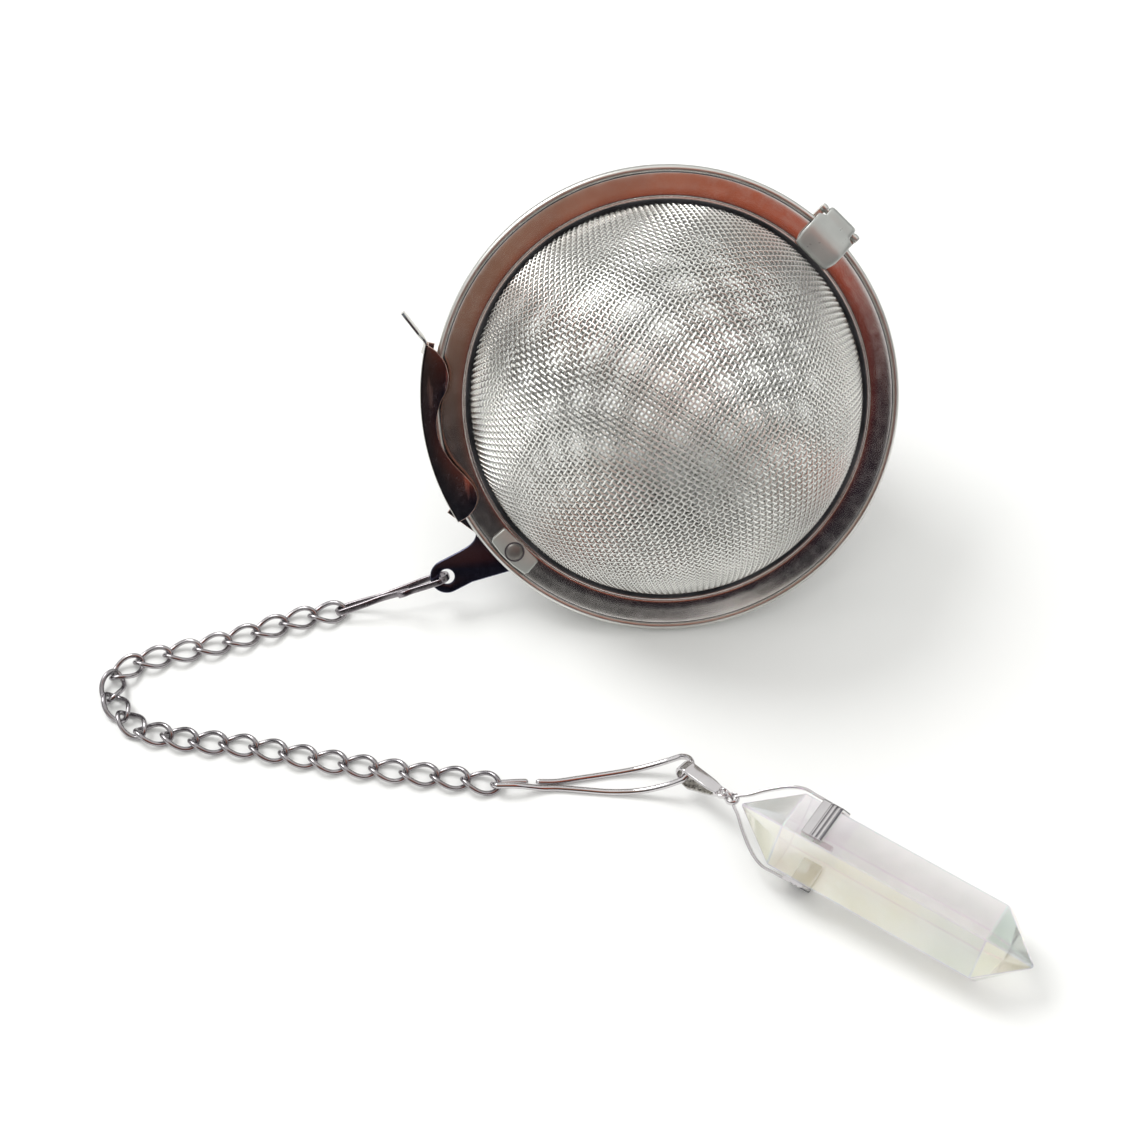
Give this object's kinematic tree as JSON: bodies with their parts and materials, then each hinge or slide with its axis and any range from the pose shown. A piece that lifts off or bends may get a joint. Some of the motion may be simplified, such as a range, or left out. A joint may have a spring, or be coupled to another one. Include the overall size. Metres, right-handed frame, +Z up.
{
  "type": "tea infuser",
  "caption": "Closed mesh tea ball with two hinged bowls, a swing latch, and a chain that carries a crystal point pendant for hanging over a cup.",
  "frame": {"origin": "bottom centre of the bounding box, on the surface that the ball, chain and pendant lie on", "axes": "+Z up; +X from the turn of the chain towards the pendant's free point; +Y from the pendant towards the ball"},
  "size_m": [0.097, 0.0828, 0.0401],
  "materials": {
    "rim_steel": "polished stamped stainless steel",
    "mesh_steel": "woven stainless wire",
    "latch_steel": "polished steel with fine scratches",
    "rivet_steel": "dull steel",
    "chain_steel": "dark steel",
    "pendant_chrome": "bright plating",
    "crystal": "clear glass with an iridescent coating"
  },
  "bodies": {
    "back_shell": {"back_rim": "rim_steel", "back_mesh": "mesh_steel"},
    "front_shell": {"front_rim": "rim_steel", "front_mesh": "mesh_steel", "pivot_rivet": "rivet_steel"},
    "latch": {"latch_lever": "latch_steel"},
    "chain_clip": {"chain_clip": "chain_steel"},
    "link_01": {"chain_link_01": "chain_steel"},
    "link_02": {"chain_link_02": "chain_steel"},
    "link_03": {"chain_link_03": "chain_steel"},
    "link_04": {"chain_link_04": "chain_steel"},
    "link_05": {"chain_link_05": "chain_steel"},
    "link_06": {"chain_link_06": "chain_steel"},
    "link_07": {"chain_link_07": "chain_steel"},
    "link_08": {"chain_link_08": "chain_steel"},
    "link_09": {"chain_link_09": "chain_steel"},
    "link_10": {"chain_link_10": "chain_steel"},
    "link_11": {"chain_link_11": "chain_steel"},
    "link_12": {"chain_link_12": "chain_steel"},
    "link_13": {"chain_link_13": "chain_steel"},
    "link_14": {"chain_link_14": "chain_steel"},
    "link_15": {"chain_link_15": "chain_steel"},
    "link_16": {"chain_link_16": "chain_steel"},
    "link_17": {"chain_link_17": "chain_steel"},
    "link_18": {"chain_link_18": "chain_steel"},
    "link_19": {"chain_link_19": "chain_steel"},
    "link_20": {"chain_link_20": "chain_steel"},
    "link_21": {"chain_link_21": "chain_steel"},
    "link_22": {"chain_link_22": "chain_steel"},
    "link_23": {"chain_link_23": "chain_steel"},
    "pendant_clip": {"pendant_clip": "pendant_chrome"},
    "bail": {"pendant_bail": "pendant_chrome"},
    "ring": {"jump_ring": "pendant_chrome"},
    "pendant": {"pendant_cap": "pendant_chrome", "crystal_point": "crystal"}
  },
  "joints": [
    {"name": "shell_open", "type": "hinge", "parent": "back_shell", "child": "front_shell", "pos_m": [0.03166, 0.03384, 0.03429], "axis": [-0.7163, 0.4144, 0.5615], "range_deg": [0, 120]},
    {"name": "latch_swing", "type": "hinge", "parent": "front_shell", "child": "latch", "pos_m": [-0.00344, 0.00994, 0.0081], "axis": [0.0473, -0.7739, 0.6315], "range_deg": [-2.8, 30]},
    {"name": "ear_swing", "type": "hinge", "parent": "back_shell", "child": "chain_clip", "pos_m": [-0.01092, 0.00888, 0.00475], "axis": [0.0473, -0.7739, 0.6315], "range_deg": [-25, 25]},
    {"name": "link_01_swing", "type": "hinge", "parent": "chain_clip", "child": "link_01", "pos_m": [-0.02266, 0.0072, 0.00076], "axis": [0, 0, 1], "range_deg": [-20, 20]},
    {"name": "link_02_swing", "type": "hinge", "parent": "link_01", "child": "link_02", "pos_m": [-0.02589, 0.00652, 0.00076], "axis": [0.2672, -0.9636, 0], "range_deg": [-20, 20]},
    {"name": "link_03_swing", "type": "hinge", "parent": "link_02", "child": "link_03", "pos_m": [-0.02901, 0.00544, 0.00076], "axis": [0, 0, -1], "range_deg": [-20, 20]},
    {"name": "link_04_swing", "type": "hinge", "parent": "link_03", "child": "link_04", "pos_m": [-0.03202, 0.0041, 0.00076], "axis": [-0.3907, 0.9205, 0], "range_deg": [-20, 20]},
    {"name": "link_05_swing", "type": "hinge", "parent": "link_04", "child": "link_05", "pos_m": [-0.03508, 0.00287, 0.00076], "axis": [0, 0, 1], "range_deg": [-20, 20]},
    {"name": "link_06_swing", "type": "hinge", "parent": "link_05", "child": "link_06", "pos_m": [-0.03824, 0.0019, 0.00076], "axis": [0.2756, -0.9613, 0], "range_deg": [-20, 20]},
    {"name": "link_07_swing", "type": "hinge", "parent": "link_06", "child": "link_07", "pos_m": [-0.04143, 0.00105, 0.00076], "axis": [0, 0, -1], "range_deg": [-15, 20]},
    {"name": "link_08_swing", "type": "hinge", "parent": "link_07", "child": "link_08", "pos_m": [-0.04458, 0.00008, 0.00076], "axis": [-0.4772, 0.8788, 0], "range_deg": [-20, 20]},
    {"name": "link_09_swing", "type": "hinge", "parent": "link_08", "child": "link_09", "pos_m": [-0.04684, -0.00181, 0.00076], "axis": [0, 0, 1], "range_deg": [-20, 15]},
    {"name": "link_10_swing", "type": "hinge", "parent": "link_09", "child": "link_10", "pos_m": [-0.04715, -0.00475, 0.00076], "axis": [0.9659, 0.2588, 0], "range_deg": [-20, 20]},
    {"name": "link_11_swing", "type": "hinge", "parent": "link_10", "child": "link_11", "pos_m": [-0.04542, -0.00713, 0.00076], "axis": [0, 0, -1], "range_deg": [-15, 20]},
    {"name": "link_12_swing", "type": "hinge", "parent": "link_11", "child": "link_12", "pos_m": [-0.04337, -0.00926, 0.00076], "axis": [-0.4695, -0.8829, 0], "range_deg": [-20, 20]},
    {"name": "link_13_swing", "type": "hinge", "parent": "link_12", "child": "link_13", "pos_m": [-0.04046, -0.00977, 0.00076], "axis": [0, 0, 1], "range_deg": [-20, 15]},
    {"name": "link_14_swing", "type": "hinge", "parent": "link_13", "child": "link_14", "pos_m": [-0.0376, -0.01048, 0.00076], "axis": [0.1736, 0.9848, 0], "range_deg": [-20, 20]},
    {"name": "link_15_swing", "type": "hinge", "parent": "link_14", "child": "link_15", "pos_m": [-0.03432, -0.01083, 0.00076], "axis": [0, 0, -1], "range_deg": [-20, 20]},
    {"name": "link_16_swing", "type": "hinge", "parent": "link_15", "child": "link_16", "pos_m": [-0.03105, -0.01129, 0.00076], "axis": [-0.1822, -0.9833, 0], "range_deg": [-20, 20]},
    {"name": "link_17_swing", "type": "hinge", "parent": "link_16", "child": "link_17", "pos_m": [-0.02783, -0.01203, 0.00076], "axis": [0, 0, 1], "range_deg": [-20, 20]},
    {"name": "link_18_swing", "type": "hinge", "parent": "link_17", "child": "link_18", "pos_m": [-0.02462, -0.01277, 0.00076], "axis": [0.2164, 0.9763, 0], "range_deg": [-20, 20]},
    {"name": "link_19_swing", "type": "hinge", "parent": "link_18", "child": "link_19", "pos_m": [-0.02139, -0.01346, 0.00076], "axis": [0, 0, -1], "range_deg": [-20, 20]},
    {"name": "link_20_swing", "type": "hinge", "parent": "link_19", "child": "link_20", "pos_m": [-0.01814, -0.01403, 0.00076], "axis": [-0.165, -0.9863, 0], "range_deg": [-20, 20]},
    {"name": "link_21_swing", "type": "hinge", "parent": "link_20", "child": "link_21", "pos_m": [-0.01488, -0.01455, 0.00076], "axis": [0, 0, 1], "range_deg": [-20, 20]},
    {"name": "link_22_swing", "type": "hinge", "parent": "link_21", "child": "link_22", "pos_m": [-0.01161, -0.01501, 0.00076], "axis": [0.1392, 0.9903, 0], "range_deg": [-20, 20]},
    {"name": "link_23_swing", "type": "hinge", "parent": "link_22", "child": "link_23", "pos_m": [-0.00835, -0.01547, 0.00076], "axis": [0, 0, -1], "range_deg": [-20, 20]},
    {"name": "clip_swing", "type": "hinge", "parent": "link_23", "child": "pendant_clip", "pos_m": [-0.00512, -0.01615, 0.00076], "axis": [-0.0828, -0.9966, 0], "range_deg": [-20, 20]},
    {"name": "bail_swing", "type": "hinge", "parent": "pendant_clip", "child": "bail", "pos_m": [0.01502, -0.01638, 0.00299], "axis": [0.6969, 0.7172, 0], "range_deg": [-20, 20]},
    {"name": "ring_swing", "type": "hinge", "parent": "bail", "child": "ring", "pos_m": [0.01838, -0.01964, 0.00439], "axis": [0.6969, 0.7172, 0], "range_deg": [-15, 15]},
    {"name": "pendant_swing", "type": "hinge", "parent": "ring", "child": "pendant", "pos_m": [0.01941, -0.02064, 0.00481], "axis": [-0.2049, 0.1991, 0.9583], "range_deg": [-20, 20]}
  ]
}
